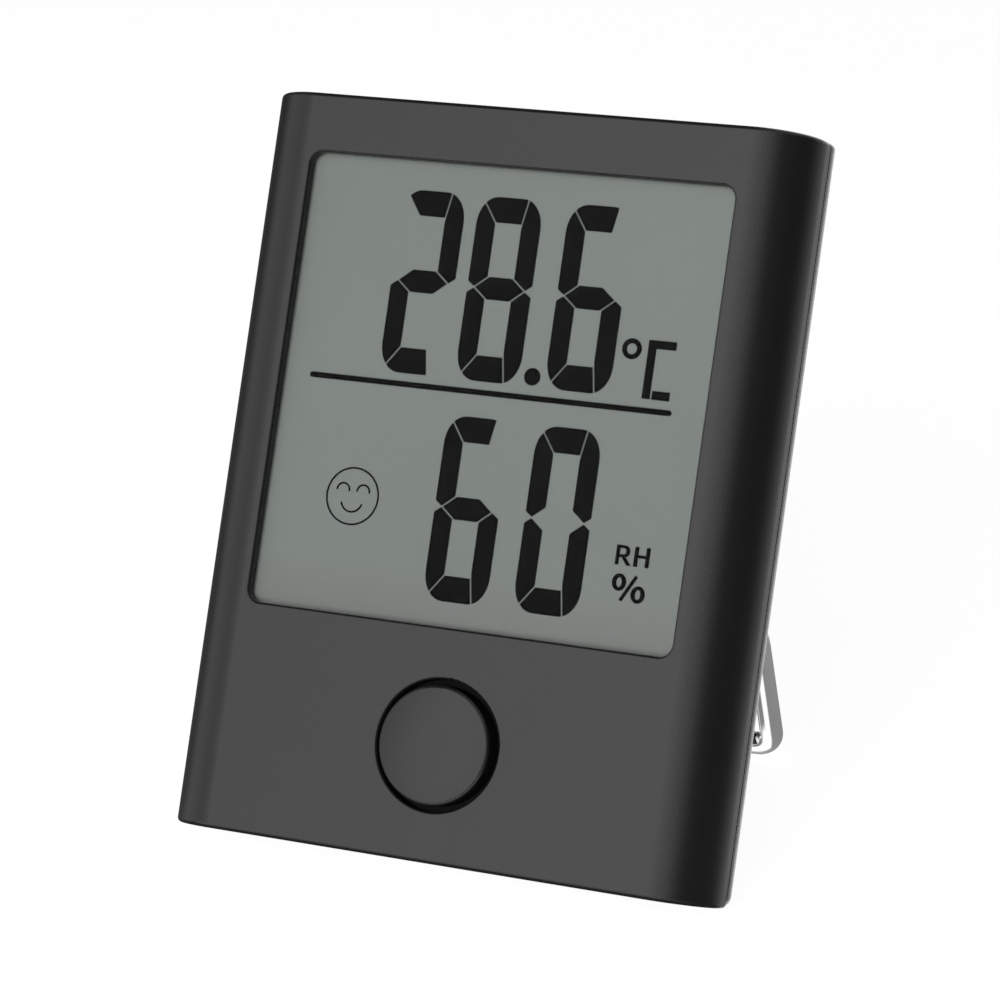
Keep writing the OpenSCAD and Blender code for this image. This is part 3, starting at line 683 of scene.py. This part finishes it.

# Painted shade at the foot of the case, seen only in reflections, so that its lower rim stays dark
ahead = math_node(tree, "MAXIMUM", math_node(tree, "SUBTRACT", FRONT_Y, spot["Y"]), 0)
apart = math_node(tree, "MAXIMUM", aside, math_node(tree, "MULTIPLY", aside, -EDGE_LEFT))
edge = step(tree, line_length(tree, apart, math_node(tree, "MULTIPLY", ahead, EDGE_FRONT)), *EDGE_FADE)
edge = math_node(tree, "MULTIPLY", edge, step(tree, spot["Y"], *EDGE_REAR))
level = blend(tree, edge, level, EDGE_LEVEL)

# Painted dark reflection far in front, for the rims that look down
front_sector = sector_level(tree, spot["X"], spot["Y"], FRONT_DARK)
dark = math_node(tree, "MULTIPLY", step(tree, ahead, *DARK_FADE), front_sector)
level = blend(tree, dark, level, DARK_LEVEL)

# Painted bands of light and shadow round the two feet of the wire stand
beside = math_node(tree, "SUBTRACT", math_node(tree, "ABSOLUTE", spot["X"]), LEG_X)
behind = math_node(tree, "SUBTRACT", spot["Y"], FOOT_Y)
away = line_length(tree, beside, behind)
near_bands = sector_level(tree, beside, behind, FOOT_NEAR)
far_bands = sector_level(tree, beside, behind, FOOT_FAR)
bands = blend(tree, step(tree, away, *FOOT_CHANGE), near_bands, far_bands)
# Painted contact shadow right under the wire
shade = step(tree, math_node(tree, "ABSOLUTE", behind), *FOOT_SHADE)
bands = blend(tree, shade, bands, FOOT_LEVEL)
mirrored = math_node(tree, "MULTIPLY", step(tree, away, *FOOT_REACH), path.outputs["Is Singular Ray"])
level = blend(tree, mirrored, level, bands)

see_through = seen_straight(tree, path)
shown = math_node(tree, "MAXIMUM", see_through, path.outputs["Is Glossy Ray"])
glow = tree.nodes.new("ShaderNodeEmission")
strength = math_node(tree, "MULTIPLY", blend(tree, see_through, level, FLOOR_WHITE), shown)
tree.links.new(strength, glow.inputs["Strength"])
matte = tree.nodes.new("ShaderNodeBsdfDiffuse")
tree.links.new(blend(tree, shown, BOUNCE, SHADOW_SHARE), matte.inputs["Color"])
both = tree.nodes.new("ShaderNodeAddShader")
tree.links.new(matte.outputs[0], both.inputs[0])
tree.links.new(glow.outputs[0], both.inputs[1])
tree.links.new(both.outputs[0], tree.nodes["Material Output"].inputs["Surface"])
data = bpy.data.meshes.new("floor")
corners = [(x * FLOOR_HALF, y * FLOOR_HALF, 0) for x, y in ((-1, -1), (1, -1), (1, 1), (-1, 1))]
data.from_pydata(corners, [], [(0, 1, 2, 3)])
data.materials.append(floor_mat)
floor = bpy.data.objects.new("floor", data)
scene.collection.objects.link(floor)

# World: white to the camera, the studio in reflections, a share of it as even light
EVEN_SHARE = 0.42
world = bpy.data.worlds.new("studio")
scene.world = world
world.use_nodes = True
tree = world.node_tree
path = tree.nodes.new("ShaderNodeLightPath")
spot = place(tree, "Generated")
level = sector_level(tree, spot["X"], spot["Y"], STUDIO)
level = math_node(tree, "MULTIPLY", level, step(tree, spot["Z"], *CEILING_EDGE, 1, CEILING_LEVEL))
overhead = step(tree, spot["X"], *TOP_SIDE, 0, TOP_LEVEL)
overhead = math_node(tree, "MULTIPLY", step(tree, spot["Z"], *TOP_RISE), overhead)
reflected = math_node(tree, "MAXIMUM", level, overhead)
even = math_node(tree, "MULTIPLY", level, EVEN_SHARE)
level = blend(tree, path.outputs["Is Glossy Ray"], even, reflected)
background = tree.nodes["Background"]
background.inputs["Color"].default_value = (1, 1, 1, 1)
tree.links.new(blend(tree, seen_straight(tree, path), level, 1.0), background.inputs["Strength"])


def lamp(name, azimuth, elevation, distance, size, power):
    """Square soft light that looks at the case; the studio walls stand for it in reflections."""
    data = bpy.data.lights.new(name, "AREA")
    data.size = size
    data.energy = power
    light = bpy.data.objects.new(name, data)
    a, e = math.radians(azimuth), math.radians(elevation)
    middle = Vector((0, 0, (cad_box[0].z + cad_box[1].z) / 2))
    off = Vector((math.sin(a) * math.cos(e), -math.cos(a) * math.cos(e), math.sin(e))) * distance
    light.location = middle + off
    light.rotation_euler = (-off).to_track_quat("-Z", "Y").to_euler()
    light.visible_glossy = False
    scene.collection.objects.link(light)


lamp("key_light", azimuth=10, elevation=16, distance=1.0, size=0.6, power=8.1)

# Camera at the photograph's place
camera_data = bpy.data.cameras.new("camera")
camera_data.sensor_width = 36
camera_data.lens = 141.498
camera = bpy.data.objects.new("camera", camera_data)
camera.location = (0.161343, -0.352113, 0.151605)
camera.rotation_euler = [math.radians(angle) for angle in (73.1294, 0.7032, 24.8054)]
scene.collection.objects.link(camera)
scene.camera = camera

scene.view_settings.view_transform = "Standard"
